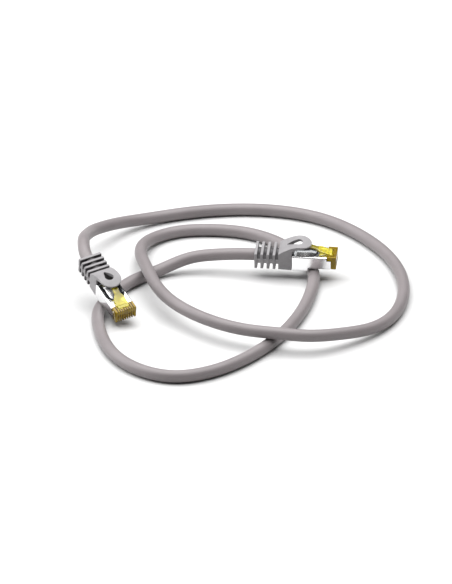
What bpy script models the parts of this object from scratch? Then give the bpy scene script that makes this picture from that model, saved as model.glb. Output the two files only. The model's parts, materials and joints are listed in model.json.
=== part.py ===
"""A shielded RJ45 patch cable, lying in two loose loops on a table.

Both ends carry the same plug: a clear amber housing with eight gold contacts and a
sprung latch, inside a sheet-metal shell, with a ribbed rubber boot behind it. The boot's
thumb ring arches over the latch. Pressing the ring presses the latch.

World frame: metres, +Z up, the table at z = 0, the origin under the middle of the cable.
Plug frame: +X out of the nose, +Y to the left, +Z to the latch side, with its origin at
the middle of the nose's lower front edge. Every plug piece is drawn in that frame.
"""

import math

import bmesh
import bpy
import numpy as np
from mathutils import Euler, Matrix, Vector

MM = 0.001
GAP = 0.3 * MM

# Housing: the clear block with the contacts, its nose standing out of the shell.
PLUG_HALF_WIDTH = 5.84 * MM
NOSE_TOP = 7.1 * MM
NOSE_LENGTH = 4.9 * MM
LIP_LENGTH = 2.6 * MM
SHOULDER_HEIGHT = 5.1 * MM
HOUSING_REAR = -19.9 * MM
HOUSING_FLOOR = 0.6 * MM
HOUSING_DECK = 3.8 * MM
HOUSING_BRIDGE = 5.7 * MM
BRIDGE_REAR = -8.8 * MM
WINDOW_REAR = -8.6 * MM
POCKET_FRONT = -2.2 * MM
POCKET_FLOOR = 5.6 * MM
CAVITY_FRONT = -12.5 * MM
CAVITY_HALF_WIDTH = 4.4 * MM
CAVITY_HEIGHTS = (1.1 * MM, 3.3 * MM)

# Contacts: eight blades on edge in slots that open at the nose's lower front edge.
CONTACTS = 8
CONTACT_PITCH = 1.27 * MM
CONTACT_THICKNESS = 0.36 * MM
SLOT_WIDTH = 0.78 * MM
SLOT_REAR = -7.2 * MM
SLOT_TOP = 4.2 * MM

# Shell: folded sheet round the housing, one step deeper behind the jack's face, with a
# well pressed into its top for the latch to bend down into.
SHEET = 0.3 * MM
SHELL_TOP = 6.4 * MM
SHELL_REAR = -23.5 * MM
SHELL_FRONT = -5.2 * MM
SHELL_TOE = -2.9 * MM
SHELL_TOE_TOP = 4.8 * MM
SHELL_DEEP_BOTTOM = -1.8 * MM
SHELL_STEP = -15.2 * MM
WELL_HALF_WIDTH = 4.7 * MM
WELL_ROUND_X = -12.6 * MM
WELL_REAR = -21.6 * MM
WELL_FLOOR = 4.4 * MM
LATCH_GATE_HALF_WIDTH = 3.4 * MM

# Latch: a sprung lever from the nose, rising backwards to a narrow tail.
LATCH_HINGE = Vector((-3.0, 0.0, 6.6)) * MM
LATCH_RISE = math.radians(17.5)
LATCH_THICKNESS = 1.0 * MM
LATCH_LENGTH = 13.6 * MM
LATCH_SHOULDER_END = 6.2 * MM
LATCH_NECK = 8.2 * MM
LATCH_HALF_WIDTHS = (3.05 * MM, 1.6 * MM)

# Cable and what is stripped out of it inside each plug.
CABLE_RADIUS = 3.25 * MM
CABLE_AXIS_HEIGHT = 3.4 * MM
JACKET_END = -27.5 * MM
PAIR_RADIUS = 0.52 * MM
BRAID_RADII = (2.4 * MM, 2.9 * MM)
FERRULE_RADII = (3.55 * MM, 4.05 * MM)
FERRULE_SPAN = (-29.6 * MM, -24.1 * MM)

# Boot: a sleeve with four ribs, a hollow front body, and the thumb ring above it.
BOOT_FRONT = -23.8 * MM
BOOT_BODY_REAR = -30.9 * MM
BOOT_REAR = -43.6 * MM
BOOT_HALF_WIDTH = 6.05 * MM
BOOT_BOTTOM = -1.6 * MM
BOOT_LEDGE = 8.9 * MM
BOOT_CREST = 10.1 * MM
SLEEVE_RADII = (3.55 * MM, 4.05 * MM)
RIBS = 4
RIB_PITCH = 3.25 * MM
RIB_THICKNESS = 1.45 * MM
RIB_HALF_WIDTH = 6.3 * MM
RIB_HEIGHTS = (-1.4 * MM, 7.9 * MM)
RIB_CORNER = 1.0 * MM
SPINE_HEIGHTS = (2.2 * MM, 4.0 * MM, 5.7 * MM)

# Thumb ring: a strap that follows an arch, given by its four Bezier points (x, z).
RING_HINGE = Vector((-26.4, 0.0, 9.5)) * MM
RING_ARCH = ((-26.3, 9.9), (-21.5, 12.1), (-18.3, 14.4), (-13.8, 12.1))
RING_THICKNESS = 1.2 * MM
RING_ROUND_X = -20.0 * MM
RING_ROUND_RADIUS = 6.2 * MM
RING_ROOT_HALF_WIDTH = 5.9 * MM
RING_SLOT_RADIUS = 2.3 * MM
RING_SLOT_SPAN = (-22.4 * MM, -20.9 * MM)

# Where each plug lies: the plug frame's origin, and its roll, pitch and yaw in degrees.
PLUGS = {
    "a": {"at": (-0.0609, -0.0362, 0.0035), "turn": (7.3, 19.0, -61.3)},
    "b": {"at": (0.0504, 0.0225, 0.0083), "turn": (5.8, 0.4, -6.2)},
}

# How far each boot has turned on its plug, about the cable's axis, in degrees.
BOOT_TURN = {"a": 0.0, "b": 5.5}

# The cable's route on the table, from boot a to boot b, in metres.
CABLE_ROUTE = [
    (-0.0840, 0.0170, 0.0235),
    (-0.0838, 0.0300, 0.0205),
    (-0.0824, 0.0425, 0.0167),
    (-0.0790, 0.0560, 0.0130),
    (-0.0712, 0.0686, 0.0100),
    (-0.0633, 0.0792, 0.0070),
    (-0.0510, 0.0895, 0.0044),
    (-0.0282, 0.0992, 0.0036),
    (-0.0050, 0.1034, 0.0035),
    (0.0181, 0.1018, 0.0035),
    (0.0416, 0.0922, 0.0035),
    (0.0630, 0.0708, 0.0035),
    (0.0853, 0.0044, 0.0035),
    (0.0679, -0.0484, 0.0047),
    (0.0504, -0.0621, 0.0077),
    (0.0327, -0.0689, 0.0099),
    (0.0193, -0.0669, 0.0102),
    (0.0028, -0.0628, 0.0102),
    (-0.0180, -0.0505, 0.0103),
    (-0.0348, -0.0314, 0.0103),
    (-0.0444, -0.0113, 0.0103),
    (-0.0506, 0.0127, 0.0107),
    (-0.0541, 0.0371, 0.0082),
    (-0.0488, 0.0624, 0.0044),
    (-0.0345, 0.0744, 0.0035),
    (-0.0162, 0.0767, 0.0035),
    (0.0017, 0.0730, 0.0035),
    (0.0172, 0.0624, 0.0035),
    (0.0312, 0.0424, 0.0035),
    (0.0362, 0.0310, 0.0035),
    (0.0379, 0.0179, 0.0035),
    (0.0354, -0.0070, 0.0035),
    (0.0284, -0.0339, 0.0035),
    (-0.0014, -0.0854, 0.0035),
    (-0.0194, -0.0995, 0.0035),
    (-0.0362, -0.1035, 0.0035),
    (-0.0527, -0.0959, 0.0035),
    (-0.0746, -0.0460, 0.0033),
    (-0.0747, -0.0217, 0.0033),
    (-0.0682, -0.0045, 0.0033),
    (-0.0568, 0.0129, 0.0035),
    (-0.0436, 0.0238, 0.0043),
    (-0.0278, 0.0303, 0.0082),
    (-0.0129, 0.0300, 0.0104),
]
CABLE_STEP = 13.4 * MM

MATERIALS = {
    # name: (base colour, roughness, metallic)
    "jacket_grey": ((0.26, 0.24, 0.25), 0.55, 0.0),
    "boot_grey": ((0.30, 0.28, 0.30), 0.50, 0.0),
    "amber_clear": ((0.62, 0.42, 0.05), 0.15, 0.0),
    "shell_nickel": ((0.72, 0.72, 0.73), 0.22, 1.0),
    "contact_gold": ((0.85, 0.60, 0.22), 0.22, 1.0),
    "comb_plastic": ((0.75, 0.70, 0.55), 0.40, 0.0),
    "braid_copper": ((0.70, 0.66, 0.60), 0.35, 1.0),
    "pair_foil": ((0.80, 0.80, 0.82), 0.30, 1.0),
}


# ---------------------------------------------------------------- scene set-up


def clear_scene():
    for obj in list(bpy.data.objects):
        bpy.data.objects.remove(obj, do_unlink=True)


def new_collection(name):
    collection = bpy.data.collections.new(name)
    bpy.context.scene.collection.children.link(collection)
    return collection


def make_materials():
    made = {}
    for name, (colour, roughness, metallic) in MATERIALS.items():
        material = bpy.data.materials.new(name)
        material.use_nodes = True
        shader = material.node_tree.nodes["Principled BSDF"]
        shader.inputs["Base Color"].default_value = (*colour, 1.0)
        shader.inputs["Roughness"].default_value = roughness
        shader.inputs["Metallic"].default_value = metallic
        made[name] = material
    return made


# ---------------------------------------------------------------- mesh helpers


def box_mesh(low, high):
    """A box between two corners."""
    low, high = Vector(low), Vector(high)
    bm = bmesh.new()
    bmesh.ops.create_cube(bm, size=1.0)
    bmesh.ops.scale(bm, vec=high - low, verts=bm.verts)
    bmesh.ops.translate(bm, vec=(low + high) / 2, verts=bm.verts)
    return finish_mesh(bm, "box")


def rod_mesh(radius, start, end, sides=24):
    """A cylinder along X from start to end, about the line y = 0, z = 0."""
    bm = bmesh.new()
    turn = Matrix.Translation(((start + end) / 2, 0, 0)) @ Matrix.Rotation(math.pi / 2, 4, "Y")
    bmesh.ops.create_cone(
        bm, cap_ends=True, segments=sides, radius1=radius, radius2=radius,
        depth=end - start, matrix=turn,
    )
    return finish_mesh(bm, "rod")


def finish_mesh(bm, name):
    mesh = bpy.data.meshes.new(name)
    bm.to_mesh(mesh)
    bm.free()
    return mesh


def mesh_from_curve(curve, turn):
    """The mesh of a filled curve, its caps welded, turned by the given matrix."""
    obj = bpy.data.objects.new("guide", curve)
    bpy.context.scene.collection.objects.link(obj)
    bpy.context.view_layer.update()
    mesh = bpy.data.meshes.new_from_object(obj.evaluated_get(bpy.context.evaluated_depsgraph_get()))
    bpy.data.objects.remove(obj, do_unlink=True)
    bm = bmesh.new()
    bm.from_mesh(mesh)
    bmesh.ops.remove_doubles(bm, verts=bm.verts, dist=0.001 * MM)
    bmesh.ops.transform(bm, matrix=turn, verts=bm.verts)
    bmesh.ops.recalc_face_normals(bm, faces=bm.faces)
    bm.to_mesh(mesh)
    bm.free()
    return mesh


def prism_mesh(outline, low, high, plane):
    """A flat outline extruded from low to high. plane "xy" extrudes along Z, "xz" along
    Y and "yz" along X."""
    curve = bpy.data.curves.new("outline", "CURVE")
    curve.dimensions = "2D"
    curve.fill_mode = "BOTH"
    curve.extrude = (high - low) / 2
    spline = curve.splines.new("POLY")
    spline.points.add(len(outline) - 1)
    for point, (u, v) in zip(spline.points, outline):
        point.co = (u, v, 0.0, 1.0)
    spline.use_cyclic_u = True
    middle = (low + high) / 2
    if plane == "xy":
        turn = Matrix.Translation((0, 0, middle))
    elif plane == "xz":
        turn = Matrix(((1, 0, 0, 0), (0, 0, 1, middle), (0, 1, 0, 0), (0, 0, 0, 1)))
    else:
        turn = Matrix(((0, 0, 1, middle), (1, 0, 0, 0), (0, 1, 0, 0), (0, 0, 0, 1)))
    return mesh_from_curve(curve, turn)


def tube_mesh(points, radius, resolution):
    """A round tube with flat caps through the given points."""
    curve = bpy.data.curves.new("tube", "CURVE")
    curve.dimensions = "3D"
    curve.bevel_depth = radius
    curve.bevel_resolution = resolution
    curve.use_fill_caps = True
    spline = curve.splines.new("POLY")
    spline.points.add(len(points) - 1)
    for point, place in zip(spline.points, points):
        point.co = (*place, 1.0)
    return mesh_from_curve(curve, Matrix.Identity(4))


def arc(centre, radius, start, end, steps):
    """Points on an arc, with its angles in degrees."""
    angles = np.radians(np.linspace(start, end, steps + 1))
    return [(centre[0] + radius * math.cos(a), centre[1] + radius * math.sin(a)) for a in angles]


def rounded_rectangle(half_width, low, high, corner, steps=3):
    """An outline in (y, z) with round corners."""
    centres = (
        (half_width - corner, high - corner, 0),
        (corner - half_width, high - corner, 90),
        (corner - half_width, low + corner, 180),
        (half_width - corner, low + corner, 270),
    )
    return [p for y, z, start in centres for p in arc((y, z), corner, start, start + 90, steps)]


# ---------------------------------------------------------------- object helpers


class Builder:
    """Makes the named pieces and their cutters, each under a parent empty."""

    def __init__(self):
        self.materials = make_materials()
        self.parts = new_collection("patch_cable")
        self.cutters = new_collection("patch_cable_cutters")

    def empty(self, name, place, turn=(0.0, 0.0, 0.0), parent=None):
        obj = bpy.data.objects.new(name, None)
        obj.empty_display_size = 5 * MM
        obj.location = place
        obj.rotation_euler = Euler(turn, "XYZ")
        obj.parent = parent
        self.parts.objects.link(obj)
        return obj

    def piece(self, name, mesh, material, parent=None, place=(0.0, 0.0, 0.0), smooth=False):
        obj = bpy.data.objects.new(name, mesh)
        if not mesh.materials:
            mesh.materials.append(self.materials[material])
        obj.location = place
        obj.parent = parent
        self.parts.objects.link(obj)
        if smooth:
            mesh.shade_smooth()
            mesh.set_sharp_from_angle(angle=math.radians(35))
        return obj

    def shape(self, target, operation, mesh):
        """Adds a Boolean to a piece, with the mesh drawn in the piece's own frame."""
        cutter = bpy.data.objects.new(f"{target.name}_{operation.lower()}", mesh)
        cutter.location = target.location
        cutter.rotation_euler = target.rotation_euler
        cutter.parent = target.parent
        cutter.hide_render = True
        cutter.display_type = "WIRE"
        self.cutters.objects.link(cutter)
        modifier = target.modifiers.new(operation.title(), "BOOLEAN")
        modifier.operation = operation
        modifier.solver = "EXACT"
        modifier.object = cutter


# ---------------------------------------------------------------- plug pieces


def add_housing(build, frame, end):
    """The clear block: a stepped side outline, a full-width nose, slots and a cavity."""
    outline = [
        (HOUSING_REAR, HOUSING_FLOOR),
        (WINDOW_REAR, HOUSING_FLOOR),
        (WINDOW_REAR, 0.0),
        (-GAP, 0.0),
        (-GAP, NOSE_TOP - GAP),
        (-NOSE_LENGTH + GAP, NOSE_TOP - GAP),
        (-NOSE_LENGTH + GAP, HOUSING_BRIDGE),
        (BRIDGE_REAR, HOUSING_BRIDGE),
        (BRIDGE_REAR, HOUSING_DECK),
        (HOUSING_REAR, HOUSING_DECK),
    ]
    inner_half = PLUG_HALF_WIDTH - SHEET - GAP
    mesh = prism_mesh(outline, -inner_half, inner_half, "xz")
    housing = build.piece(f"plug_housing_{end}", mesh, "amber_clear", frame)
    nose = [
        (-LIP_LENGTH, 0.0),
        (0.0, 0.0),
        (0.0, NOSE_TOP),
        (-NOSE_LENGTH, NOSE_TOP),
        (-NOSE_LENGTH, SHOULDER_HEIGHT),
        (-LIP_LENGTH, SHOULDER_HEIGHT),
    ]
    build.shape(housing, "UNION", prism_mesh(nose, -PLUG_HALF_WIDTH, PLUG_HALF_WIDTH, "xz"))
    pocket_low = (BRIDGE_REAR - GAP, -LATCH_GATE_HALF_WIDTH, POCKET_FLOOR)
    pocket_high = (POCKET_FRONT, LATCH_GATE_HALF_WIDTH, 2 * NOSE_TOP)
    build.shape(housing, "DIFFERENCE", box_mesh(pocket_low, pocket_high))
    cavity_low = (2 * HOUSING_REAR, -CAVITY_HALF_WIDTH, CAVITY_HEIGHTS[0])
    cavity_high = (CAVITY_FRONT, CAVITY_HALF_WIDTH, CAVITY_HEIGHTS[1])
    build.shape(housing, "DIFFERENCE", box_mesh(cavity_low, cavity_high))
    for y in contact_rows():
        slot_low = (SLOT_REAR, y - SLOT_WIDTH / 2, -NOSE_TOP)
        slot_high = (NOSE_LENGTH, y + SLOT_WIDTH / 2, SLOT_TOP)
        build.shape(housing, "DIFFERENCE", box_mesh(slot_low, slot_high))


def contact_rows():
    return [(row - (CONTACTS - 1) / 2) * CONTACT_PITCH for row in range(CONTACTS)]


def add_contacts(build, frame, end):
    """Blades standing on edge, all of one mesh: a tab with a round lower front corner."""
    front, rear, top, low, corner = -1.0 * MM, -6.7 * MM, 3.8 * MM, 0.45 * MM, 1.3 * MM
    outline = [(rear, low), *arc((front - corner, low + corner), corner, 270, 360, 4)]
    outline += [(front, top), (rear, top)]
    mesh = prism_mesh(outline, -CONTACT_THICKNESS / 2, CONTACT_THICKNESS / 2, "xz")
    for number, y in enumerate(contact_rows(), start=1):
        build.piece(f"contact_{number}_{end}", mesh, "contact_gold", frame, (0.0, y, 0.0))


def well_outline(half_width, rear, front):
    """The well's outline in (x, y): straight sides, a round front end and the latch's gate."""
    gate = math.degrees(math.asin(LATCH_GATE_HALF_WIDTH / WELL_HALF_WIDTH))
    right = arc((WELL_ROUND_X, 0.0), half_width, -90, -gate, 4)
    left = arc((WELL_ROUND_X, 0.0), half_width, gate, 90, 4)
    gate_corners = [(front, right[-1][1]), (front, left[0][1])]
    return [(rear, -half_width), *right, *gate_corners, *left, (rear, half_width)]


def add_shell(build, frame, end):
    """Folded sheet: a stepped box, hollowed, with a pressed well and a contact window."""
    outer = [
        (SHELL_REAR, SHELL_DEEP_BOTTOM),
        (SHELL_STEP, SHELL_DEEP_BOTTOM),
        (SHELL_STEP, 0.0),
        (SHELL_TOE, 0.0),
        (SHELL_TOE, SHELL_TOE_TOP),
        (SHELL_FRONT, SHELL_TOE_TOP),
        (SHELL_FRONT, SHELL_TOP),
        (SHELL_REAR, SHELL_TOP),
    ]
    mesh = prism_mesh(outer, -PLUG_HALF_WIDTH, PLUG_HALF_WIDTH, "xz")
    shell = build.piece(f"shield_shell_{end}", mesh, "shell_nickel", frame)
    inner = [
        (2 * SHELL_REAR, SHELL_DEEP_BOTTOM + SHEET),
        (SHELL_STEP - SHEET, SHELL_DEEP_BOTTOM + SHEET),
        (SHELL_STEP - SHEET, SHEET),
        (NOSE_LENGTH, SHEET),
        (NOSE_LENGTH, SHELL_TOP - SHEET),
        (2 * SHELL_REAR, SHELL_TOP - SHEET),
    ]
    inner_half = PLUG_HALF_WIDTH - SHEET
    build.shape(shell, "DIFFERENCE", prism_mesh(inner, -inner_half, inner_half, "xz"))
    well = well_outline(WELL_HALF_WIDTH + SHEET, WELL_REAR, BRIDGE_REAR - GAP)
    well_mesh = prism_mesh(well, WELL_FLOOR - SHEET, SHELL_TOP - SHEET / 2, "xy")
    build.shape(shell, "UNION", well_mesh)
    opening = well_outline(WELL_HALF_WIDTH, 2 * SHELL_REAR, NOSE_LENGTH)
    build.shape(shell, "DIFFERENCE", prism_mesh(opening, WELL_FLOOR, 2 * SHELL_TOP, "xy"))
    window_half = inner_half - GAP
    window_low = (WINDOW_REAR - GAP, -window_half, -NOSE_TOP)
    build.shape(shell, "DIFFERENCE", box_mesh(window_low, (NOSE_LENGTH, window_half, 2 * SHEET)))


def add_latch(build, frame, end):
    """The lever, drawn in its hinge's frame: +X to the tail, and a round root."""
    hinge = build.empty(f"latch_hinge_{end}", LATCH_HINGE, (0.0, -LATCH_RISE, math.pi), frame)
    wide, narrow = LATCH_HALF_WIDTHS
    tail = LATCH_LENGTH - narrow
    outline = [
        (0.0, -wide),
        (LATCH_SHOULDER_END, -wide),
        (LATCH_NECK, -narrow),
        *arc((tail, 0.0), narrow, -90, 90, 6),
        (LATCH_NECK, narrow),
        (LATCH_SHOULDER_END, wide),
        (0.0, wide),
    ]
    half = LATCH_THICKNESS / 2
    latch = build.piece(f"latch_{end}", prism_mesh(outline, -half, half, "xy"), "amber_clear", hinge)
    root = prism_mesh(arc((0.0, 0.0), half, 0, 330, 11), -wide, wide, "xz")
    build.shape(latch, "UNION", root)


def add_load_bar(build, frame, end):
    """The comb that lines up the wires ahead of the blades, with eight wire grooves."""
    low, high = CAVITY_HEIGHTS[0] + GAP, CAVITY_HEIGHTS[1] - GAP
    front, rear = CAVITY_FRONT - GAP, CAVITY_FRONT - 4.0 * MM
    half = CAVITY_HALF_WIDTH - GAP
    bar = build.piece(
        f"load_bar_{end}", box_mesh((rear, -half, low), (front, half, high)), "comb_plastic", frame
    )
    groove = 0.7 * MM
    for row in range(CONTACTS):
        y = (row - (CONTACTS - 1) / 2) * 1.02 * MM
        groove_low = (rear - GAP, y - groove / 2, high - groove)
        groove_high = (front + GAP, y + groove / 2, high + GAP)
        build.shape(bar, "DIFFERENCE", box_mesh(groove_low, groove_high))


def add_sleeve(build, frame, name, material, radii, span):
    """A plain round sleeve about the cable's axis."""
    place = (0.0, 0.0, CABLE_AXIS_HEIGHT)
    sleeve = build.piece(name, rod_mesh(radii[1], *span), material, frame, place, smooth=True)
    bore = rod_mesh(radii[0], span[0] - GAP, span[1] + GAP)
    build.shape(sleeve, "DIFFERENCE", bore)


def add_pairs(build, frame, end):
    """Four foil-wrapped pairs that fan out from the cable's core to one flat row."""
    start, leave, join = JACKET_END + GAP, -24.3 * MM, -20.2 * MM
    stop = CAVITY_FRONT - 4.0 * MM - GAP
    core = 0.85 * MM
    row_height = sum(CAVITY_HEIGHTS) / 2
    corners = [(-1, -1), (-1, 1), (1, -1), (1, 1)]
    rows = [-3.1 * MM, -1.1 * MM, 1.1 * MM, 3.1 * MM]
    for number, ((side, level), row) in enumerate(zip(corners, rows), start=1):
        at_core = np.array((side * core, CABLE_AXIS_HEIGHT + level * core))
        at_row = np.array((row, row_height))
        points = [(start, *at_core), (leave, *at_core)]
        for share in (0.2, 0.5, 0.8):
            bend = share * share * (3 - 2 * share)
            points.append((leave + share * (join - leave), *(at_core + bend * (at_row - at_core))))
        points += [(join, *at_row), (stop, *at_row)]
        mesh = tube_mesh(points, PAIR_RADIUS, 2)
        build.piece(f"wire_pair_{number}_{end}", mesh, "pair_foil", frame, smooth=True)


def add_boot(build, frame, end):
    """The rubber boot: front body, sleeve, ribs and side spines, bored for the cable."""
    outline = [
        (BOOT_BODY_REAR, BOOT_BOTTOM),
        (BOOT_FRONT, BOOT_BOTTOM),
        (BOOT_FRONT, BOOT_LEDGE),
        (RING_HINGE.x - 0.5 * MM, BOOT_LEDGE),
        (RING_HINGE.x - 0.5 * MM, BOOT_CREST),
        (BOOT_BODY_REAR, RIB_HEIGHTS[1]),
    ]
    mesh = prism_mesh(outline, -BOOT_HALF_WIDTH, BOOT_HALF_WIDTH, "xz")
    boot = build.piece(f"boot_{end}", mesh, "boot_grey", frame)
    axis = Matrix.Translation((0, 0, CABLE_AXIS_HEIGHT))
    sleeve = rod_mesh(SLEEVE_RADII[1], BOOT_REAR + RIB_THICKNESS / 2, BOOT_BODY_REAR + GAP)
    sleeve.transform(axis)
    build.shape(boot, "UNION", sleeve)
    rib = rounded_rectangle(RIB_HALF_WIDTH, *RIB_HEIGHTS, RIB_CORNER)
    for number in range(RIBS):
        rear = BOOT_REAR + number * RIB_PITCH
        build.shape(boot, "UNION", prism_mesh(rib, rear, rear + RIB_THICKNESS, "yz"))
    spine_half = RIB_HALF_WIDTH - 0.35 * MM
    root = SLEEVE_RADII[1] * 0.8
    under, edge, over = SPINE_HEIGHTS
    for side in (-1, 1):
        profile = [(root, under), (spine_half, under), (spine_half, edge), (root, over)]
        spine = [(side * y, z) for y, z in profile]
        spine_mesh = prism_mesh(spine, BOOT_REAR + RIB_THICKNESS / 2, BOOT_BODY_REAR + GAP, "yz")
        build.shape(boot, "UNION", spine_mesh)
    bore = rod_mesh(SLEEVE_RADII[0], BOOT_REAR - GAP, BOOT_FRONT + GAP)
    bore.transform(axis)
    build.shape(boot, "DIFFERENCE", bore)
    chamber = rod_mesh(FERRULE_RADII[1] + GAP, FERRULE_SPAN[0] - 0.2 * MM, BOOT_FRONT + GAP)
    chamber.transform(axis)
    build.shape(boot, "DIFFERENCE", chamber)


def arch_outline(thickness, steps=12):
    """The arch's two sides, from its cubic Bezier points, in the ring hinge's frame."""
    control = np.array(RING_ARCH) * MM - np.array((RING_HINGE.x, RING_HINGE.z))
    t = np.linspace(0.0, 1.0, steps + 1)[:, None]
    weights = np.hstack([(1 - t) ** 3, 3 * t * (1 - t) ** 2, 3 * t**2 * (1 - t), t**3])
    line = weights @ control
    along = np.gradient(line, axis=0)
    along /= np.linalg.norm(along, axis=1)[:, None]
    normal = np.stack([-along[:, 1], along[:, 0]], axis=1)
    upper = line + normal * thickness / 2
    lower = line - normal * thickness / 2
    return [tuple(p) for p in lower] + [tuple(p) for p in upper[::-1]]


def add_thumb_ring(build, frame, end):
    """An arched strap with a round front and a slot, drawn in its hinge's frame."""
    hinge = build.empty(f"ring_hinge_{end}", RING_HINGE, parent=frame)
    half = RING_ROUND_RADIUS + GAP
    strap = prism_mesh(arch_outline(RING_THICKNESS), -half, half, "xz")
    ring = build.piece(f"thumb_ring_{end}", strap, "boot_grey", hinge)
    round_x = RING_ROUND_X - RING_HINGE.x
    root_x = -2.0 * MM
    plan = [
        (root_x, -RING_ROOT_HALF_WIDTH),
        *arc((round_x, 0.0), RING_ROUND_RADIUS, -90, 90, 16),
        (root_x, RING_ROOT_HALF_WIDTH),
    ]
    build.shape(ring, "INTERSECT", prism_mesh(plan, -10 * MM, 10 * MM, "xy"))
    slot = arc((RING_SLOT_SPAN[1] - RING_HINGE.x, 0.0), RING_SLOT_RADIUS, -90, 90, 8)
    slot += arc((RING_SLOT_SPAN[0] - RING_HINGE.x, 0.0), RING_SLOT_RADIUS, 90, 270, 8)
    build.shape(ring, "DIFFERENCE", prism_mesh(slot, -10 * MM, 10 * MM, "xy"))


def add_plug(build, end):
    """One whole plug with its boot. It returns its frame empty."""
    roll, pitch, yaw = (math.radians(a) for a in PLUGS[end]["turn"])
    frame = build.empty(f"plug_frame_{end}", PLUGS[end]["at"], (roll, pitch, yaw))
    boot_turn = math.radians(BOOT_TURN[end])
    aside = CABLE_AXIS_HEIGHT * math.sin(boot_turn)
    boot_place = (0.0, aside, CABLE_AXIS_HEIGHT * (1.0 - math.cos(boot_turn)))
    boot_frame = build.empty(f"boot_frame_{end}", boot_place, (boot_turn, 0.0, 0.0), frame)
    add_housing(build, frame, end)
    add_contacts(build, frame, end)
    add_shell(build, frame, end)
    add_latch(build, frame, end)
    add_load_bar(build, frame, end)
    add_sleeve(build, frame, f"crimp_ferrule_{end}", "shell_nickel", FERRULE_RADII, FERRULE_SPAN)
    braid_span = (JACKET_END + GAP, -24.6 * MM)
    add_sleeve(build, frame, f"shield_braid_{end}", "braid_copper", BRAID_RADII, braid_span)
    add_pairs(build, frame, end)
    add_boot(build, boot_frame, end)
    add_thumb_ring(build, boot_frame, end)
    return frame


# ---------------------------------------------------------------- cable


def smooth_curve(points, start_way, end_way, step):
    """A cubic spline through the points, with its end directions set, read at equal steps."""
    points = np.array(points, dtype=float)
    spans = np.linalg.norm(np.diff(points, axis=0), axis=1)
    count = len(points)
    slopes = np.diff(points, axis=0) / spans[:, None]
    matrix = np.zeros((count, count))
    right = np.zeros((count, 3))
    matrix[0, 0] = matrix[-1, -1] = 1.0
    right[0], right[-1] = start_way, end_way
    for i in range(1, count - 1):
        before, after = spans[i - 1], spans[i]
        matrix[i, i - 1 : i + 2] = (after, 2 * (before + after), before)
        right[i] = 3 * (after * slopes[i - 1] + before * slopes[i])
    ways = np.linalg.solve(matrix, right)
    dense = []
    for i, span in enumerate(spans):
        t = np.linspace(0.0, 1.0, 40, endpoint=False)[:, None]
        dense.append(
            (1 + 2 * t) * (1 - t) ** 2 * points[i]
            + t * (1 - t) ** 2 * span * ways[i]
            + t**2 * (3 - 2 * t) * points[i + 1]
            + t**2 * (t - 1) * span * ways[i + 1]
        )
    dense = np.vstack([*dense, points[-1:]])
    along = np.concatenate([[0.0], np.cumsum(np.linalg.norm(np.diff(dense, axis=0), axis=1))])
    places = np.linspace(0.0, along[-1], int(round(along[-1] / step)) + 1)
    return np.stack([np.interp(places, along, dense[:, k]) for k in range(3)], axis=1)


def add_cable(build, frames):
    """The jacketed cable, from inside one boot to inside the other."""
    bpy.context.view_layer.update()
    ends = {}
    for end, frame in frames.items():
        inner = frame.matrix_world @ Vector((JACKET_END, 0.0, CABLE_AXIS_HEIGHT))
        outer = frame.matrix_world @ Vector((BOOT_REAR, 0.0, CABLE_AXIS_HEIGHT))
        ends[end] = (np.array(inner), np.array(outer), np.array((outer - inner).normalized()))
    route = [ends["a"][1], *CABLE_ROUTE, ends["b"][1]]
    free = smooth_curve(route, ends["a"][2], -ends["b"][2], CABLE_STEP)
    points = [ends["a"][0], *free, ends["b"][0]]
    build.piece("cable_jacket", tube_mesh(points, CABLE_RADIUS, 4), "jacket_grey", smooth=True)


def main():
    clear_scene()
    build = Builder()
    frames = {end: add_plug(build, end) for end in PLUGS}
    add_cable(build, frames)


main()
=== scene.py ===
"""Looks for the shielded patch cable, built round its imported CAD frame.

Each plug piece is drawn in the plug's own frame: +X out of the nose, +Y to the left, +Z to
the latch side, with the origin at the middle of the nose's lower front edge.
"""

import json
import math

import bmesh
import bpy
import numpy as np
from mathutils import Matrix, Vector


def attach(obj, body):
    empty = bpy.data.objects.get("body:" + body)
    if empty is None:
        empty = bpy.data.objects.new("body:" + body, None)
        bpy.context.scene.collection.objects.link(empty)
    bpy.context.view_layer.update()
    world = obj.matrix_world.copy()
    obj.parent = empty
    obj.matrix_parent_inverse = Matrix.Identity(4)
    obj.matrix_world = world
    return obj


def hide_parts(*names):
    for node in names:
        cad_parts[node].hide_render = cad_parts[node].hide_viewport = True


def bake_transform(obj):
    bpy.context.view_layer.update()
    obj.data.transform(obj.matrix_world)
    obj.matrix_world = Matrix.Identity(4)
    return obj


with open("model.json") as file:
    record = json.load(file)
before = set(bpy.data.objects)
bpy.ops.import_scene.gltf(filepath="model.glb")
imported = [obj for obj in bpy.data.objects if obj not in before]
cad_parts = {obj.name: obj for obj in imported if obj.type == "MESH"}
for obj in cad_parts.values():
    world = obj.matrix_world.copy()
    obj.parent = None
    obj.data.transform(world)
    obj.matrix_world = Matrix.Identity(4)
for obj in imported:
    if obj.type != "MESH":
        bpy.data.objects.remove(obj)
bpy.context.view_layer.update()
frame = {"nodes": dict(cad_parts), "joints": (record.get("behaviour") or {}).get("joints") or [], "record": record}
RECORD = frame["record"]
MM = 0.001

# ---------------------------------------------------------------- driving dimensions

# Plug frame: the nose mount lies this far above the plug frame's origin.
NOSE_MOUNT_HEIGHT = 5.6 * MM
ENDS = ("a", "b")

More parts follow.
